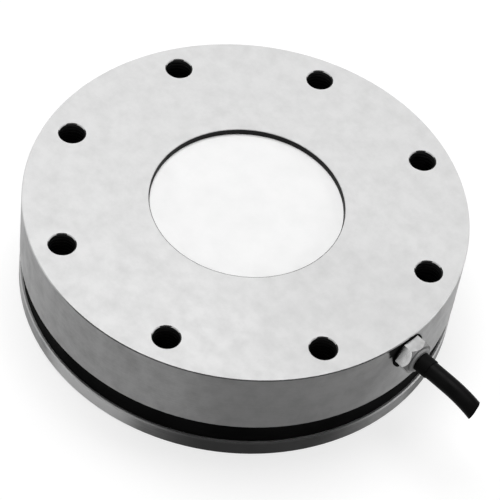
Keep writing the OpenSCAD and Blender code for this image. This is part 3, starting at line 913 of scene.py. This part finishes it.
# The wall between the turns, and the cone that the drill left at the bottom: a dark lining
# inside the bore, painted shade for the inside of the hole
WALL_TOP = 39.68 * MM
WALL_FOOT = 22.05 * MM
DRILL_CONE = 2.65 * MM
DRILL_TIP_R = 0.1 * MM
deselect()
bpy.ops.mesh.primitive_cylinder_add(
    vertices=ROUND_SIDES, radius=THREAD_ROOT_R, depth=WALL_TOP - WALL_FOOT,
    end_fill_type="NOTHING", location=(0, 0, (WALL_TOP + WALL_FOOT) / 2 - thread_foot),
)
hole_wall = bpy.context.object
bpy.ops.mesh.primitive_cone_add(
    vertices=ROUND_SIDES, radius1=DRILL_TIP_R, radius2=THREAD_ROOT_R, depth=DRILL_CONE,
    location=(0, 0, WALL_FOOT - DRILL_CONE / 2 - thread_foot), end_fill_type="NOTHING",
)
hole_bottom = bpy.context.object
for lining in (hole_wall, hole_bottom):
    work_on(lining)
    bpy.ops.object.mode_set(mode="EDIT")
    bpy.ops.mesh.select_all(action="SELECT")
    bpy.ops.mesh.flip_normals()
    bpy.ops.object.mode_set(mode="OBJECT")
    bpy.ops.object.shade_smooth_by_angle(angle=SMOOTH_ANGLE)
work_on(thread)
hole_wall.select_set(True)
hole_bottom.select_set(True)
bpy.ops.object.join()
# The thread and its lining are dark: painted shade inside the hole
thread_shade_steel = small_metal("painted_shade_thread_steel", 0.035, 0.012, 0.35, metallic=0.9)
cover_with(thread, thread_shade_steel)
threads = [thread]
for k in range(1, BOLT_COUNT):
    twin = thread.copy()
    twin.data = thread.data.copy()
    twin.name = f"mounting_thread_{k + 1}"
    bpy.context.collection.objects.link(twin)
    threads.append(twin)
# Each thread runs out at the same heading. Its mouth's chamfer is painted dark as shade,
# except in two sectors that keep the ring's own steel, where the thread glints
THREAD_START = math.radians(205)
GLINT_SECTORS = [(95, 22), (187, 24)]
# The chamfer at a mouth lies within this much of the bore and of the top
MOUTH = 0.5 * MM
mouth_shade_slot = add_finish(load_ring, thread_shade_steel)


def in_glint_sector(face, axis):
    """Whether the face lies in one of the sectors that keep the ring's own steel, round
    its hole's axis.
    """
    out = face.center.xy - axis.xy
    heading = math.degrees(math.atan2(out.y, out.x)) % 360
    return any(abs(heading - middle) < half for middle, half in GLINT_SECTORS)


for k, twin in enumerate(threads):
    twin.rotation_euler.z = THREAD_START
    angle = math.radians(FIRST_HOLE + HOLE_STEP * k)
    twin.location = (
        BOLT_CIRCLE_R * math.cos(angle), BOLT_CIRCLE_R * math.sin(angle), thread_foot
    )
    axis = twin.location.copy()
    settle(twin)
    for face in load_ring.data.polygons:
        at_mouth = (face.center.xy - axis.xy).length < BORE_R + MOUTH
        if at_mouth and face.center.z > RING_TOP - MOUTH and face.normal.z < LEVEL:
            face.material_index = 0 if in_glint_sector(face, axis) else mouth_shade_slot
    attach(twin, "root")

# The cover disc. A thin pale disc, frosted all over, bonded on its gasket in the recess
# of the ring, where it closes the gauge cavity.
cover_steel = turned(
    "frosted_cover_steel", 0.85, 0.8, 0.35, 0.6, 0.1, rings=0.05, blasting=0.25
)
cover_with(nodes["cover_disc"], cover_steel)
cover_with(nodes["cover_gasket"], bush_rubber)

# The bead. A black ring run round the corner between the cover disc and the wall of the
# recess and drawn up that wall in a thin film: painted shade on the recess wall, where the
# light doesn't reach.
BEAD_R = 32.96 * MM
BEAD_FOOT_R = 32.6 * MM
BEAD_TOP_R = 32.82 * MM
BEAD_FOOT = 38.01 * MM
BEAD_TOP = 39.82 * MM
BEAD_SIDES = 192
# The bore's cone stands a little past the bead's two ends
PAST = 0.02 * MM
bead_height = BEAD_TOP - BEAD_FOOT
bead_middle = (0, 0, (BEAD_TOP + BEAD_FOOT) / 2)
deselect()
bpy.ops.mesh.primitive_cylinder_add(
    vertices=BEAD_SIDES, radius=BEAD_R, depth=bead_height, location=bead_middle
)
bead = bpy.context.object
bead.name = "recess_painted_shade_film"
settle(bead)
deselect()
bpy.ops.mesh.primitive_cone_add(
    vertices=BEAD_SIDES, radius1=BEAD_FOOT_R, radius2=BEAD_TOP_R,
    depth=bead_height + PAST, location=bead_middle,
)
bead_bore = bpy.context.object
settle(bead_bore)
combine(bead, bead_bore, "DIFFERENCE")
work_on(bead)
bpy.ops.object.shade_smooth_by_angle(angle=SMOOTH_ANGLE)
recess_shade_black = moulded(
    "painted_recess_shade", 0.008, 0.014, 0.5,
    grain=2000, patch=260, depth=0.4, Specular_IOR_Level=0.15,
)
cover_with(bead, recess_shade_black)
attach(bead, "root")

# The dust seal. A soft black ring moulded with a C-shaped section, stretched over the
# ring's shoulder, where it keeps dirt out of the gap above the base plate.
cover_with(nodes["dust_seal"], seal_rubber)

# The base plate. A turned steel disc that the hub is screwed down on. Its edge was left
# as turned, so it is finely streaked; a highlight is painted on its corner above, and
# shade on the one below.
PLATE_R = 75 * MM
# By heading from the cable: painted reflections on the edge, dark on one side, bright
# next to it, and dim by the gland
DARK_REFLECTION = (-39, 36, 12, 0.012, 1)
BRIGHT_REFLECTION = (-86, 18, 6, 0.95, 1)
DIM_REFLECTION_AT_GLAND = (16, 14, 5, 0.16, 1)
PLATE_LOOK = {
    "colour": 0.48, "stain": 0.26, "amount": 0.5, "roughness": 0.4, "metallic": 0.2,
    "rings": 0.3, "blasting": 0.1,
}
plate_steel = turned("turned_plate_steel", **PLATE_LOOK)
plate_edge_steel = turned(
    "turned_plate_edge_steel", **PLATE_LOOK, streaks=2.5, Specular_IOR_Level=0.2
)
# The corner above gets a painted highlight, and the one below painted shade
corner_light_and_shade = turned("painted_light_corner_steel", 0.85, 0.7, 0.3, 0.35, 0.1)
foot_shade = turned("painted_shade_foot_steel", 0.05, 0.03, 0.5, 0.5, 0)
paint_light_patches(plate_edge_steel, [DARK_REFLECTION, BRIGHT_REFLECTION, DIM_REFLECTION_AT_GLAND])
paint_light_patches(corner_light_and_shade, [DARK_REFLECTION])
plate = nodes["base_plate"]
cover_with(plate, plate_steel)
upper_slot = add_finish(plate, corner_light_and_shade)
lower_slot = add_finish(plate, foot_shade)
edge_slot = add_finish(plate, plate_edge_steel)
for face in plate.data.polygons:
    if face.center.xy.length < PLATE_R - MARGIN:
        continue
    if UPRIGHT < face.normal.z < LEVEL:
        face.material_index = upper_slot
    elif -LEVEL < face.normal.z < -UPRIGHT:
        face.material_index = lower_slot
    elif abs(face.normal.z) < UPRIGHT:
        face.material_index = edge_slot

# The base fixings. Four countersunk socket screws, dark from their plating, pull the hub
# into its seat in the plate, and two ground dowels stop it turning.
plated_steel = small_metal(
    "dark_plated_steel", (0.13, 0.13, 0.135), 0.06, 0.35, metallic=0.9
)
ground_steel = small_metal("ground_steel", (0.6, 0.6, 0.61), 0.42, 0.25)
cover_with(nodes["base_screws"], plated_steel)
cover_with(nodes["base_dowels"], ground_steel)

# Gauges and board. Foil gauges bonded on the web in pairs, wired past solder terminals
# to a round board that stands on three spacers and carries the trimming resistors.
gauge_film = moulded(
    "amber_gauge_film", (0.5, 0.24, 0.06), (0.4, 0.18, 0.04), 0.3, grain=4500, depth=0.2
)
terminal_laminate = moulded(
    "terminal_laminate", (0.45, 0.25, 0.1), (0.35, 0.18, 0.06), 0.35, grain=4000
)
wire_enamel = moulded("red_wire_enamel", (0.4, 0.06, 0.02), (0.3, 0.04, 0.015), 0.3)
board_lacquer = moulded(
    "green_board_lacquer", (0.015, 0.14, 0.05), (0.01, 0.1, 0.035), 0.3, patch=300
)
resistor_lacquer = moulded(
    "tan_resistor_lacquer", (0.5, 0.38, 0.22), (0.42, 0.31, 0.17), 0.35, patch=700
)
cover_with(nodes["inner_gauges"], gauge_film)
cover_with(nodes["outer_gauges"], gauge_film)
cover_with(nodes["gauge_terminals"], terminal_laminate)
cover_with(nodes["gauge_wires"], wire_enamel)
cover_with(nodes["bridge_board"], board_lacquer)
cover_with(nodes["board_spacers"], turned_brass)
cover_with(nodes["board_screws"], ground_steel)
cover_with(nodes["trim_resistors"], resistor_lacquer)

# The studio. A grey paper floor that the camera sees as white paper, a wide key lamp over
# the disc, and one lamp low on each side, which leave the front of the rim dim.
FLOOR_SIZE = 8
FLOOR_GLOW = 0.77
AMBIENT = 0.05
LAMP_AIM = Vector((0, 0, 0.02))


def seen_directly(tree):
    """1 for what the camera sees, also in a mirror or through a window, and 0 for the
    light that falls on the object."""
    rays = tree.nodes.new("ShaderNodeLightPath")
    seen = rays.outputs["Is Camera Ray"]
    for kind in ("Is Glossy Ray", "Is Transmission Ray"):
        either = tree.nodes.new("ShaderNodeMath")
        either.operation = "MAXIMUM"
        tree.links.new(seen, either.inputs[0])
        tree.links.new(rays.outputs[kind], either.inputs[1])
        seen = either.outputs["Value"]
    return seen


def lamp(name, place, size, power):
    """A square soft lamp at this place, pointed at the middle of the disc."""
    deselect()
    spot = Vector(place)
    bpy.ops.object.light_add(type="AREA", location=spot)
    light = bpy.context.object
    light.name = name
    light.data.shape = "SQUARE"
    light.data.size = size
    light.data.energy = power
    light.rotation_mode = "QUATERNION"
    light.rotation_quaternion = (LAMP_AIM - spot).to_track_quat("-Z", "Y")


deselect()
bpy.ops.mesh.primitive_plane_add(size=FLOOR_SIZE, location=(0, 0, 0))
floor = bpy.context.object
floor.name = "floor"
floor_paper, paper_shader, _ = finish_for(
    "floor_paper", Base_Color=rgba(0.3), Roughness=0.9, Specular_IOR_Level=0
)
paper = floor_paper.node_tree.nodes
paper_surface = paper["Material Output"].inputs["Surface"]
glow_strength = paper.new("ShaderNodeMath")
glow_strength.operation = "MULTIPLY"
glow_strength.inputs[1].default_value = FLOOR_GLOW
glow = paper.new("ShaderNodeEmission")
glow_and_paper = paper.new("ShaderNodeAddShader")
join(floor_paper, seen_directly(floor_paper.node_tree), glow_strength.inputs[0])
join(floor_paper, glow_strength.outputs["Value"], glow.inputs["Strength"])
join(floor_paper, glow.outputs["Emission"], glow_and_paper.inputs[0])
join(floor_paper, paper_shader.outputs["BSDF"], glow_and_paper.inputs[1])
join(floor_paper, glow_and_paper.outputs["Shader"], paper_surface)
floor.data.materials.append(floor_paper)

world = bpy.data.worlds.new("studio")
bpy.context.scene.world = world
world.use_nodes = True
sky = world.node_tree
backdrop = sky.nodes["Background"]
backdrop.inputs["Color"].default_value = rgba(1)
strength = sky.nodes.new("ShaderNodeMapRange")
strength.inputs["To Min"].default_value = AMBIENT
strength.inputs["To Max"].default_value = 1
sky.links.new(seen_directly(sky), strength.inputs["Value"])
sky.links.new(strength.outputs["Result"], backdrop.inputs["Strength"])

lamp("key_lamp", (-0.3, 0.2, 1.2), 0.8, 14.2)
lamp("left_lamp", (-0.6, -1.0, 0.4), 0.5, 1)
lamp("right_lamp", (0.8, 0.9, 0.4), 0.5, 2.8)

view = bpy.context.scene.view_settings
view.view_transform = "Standard"
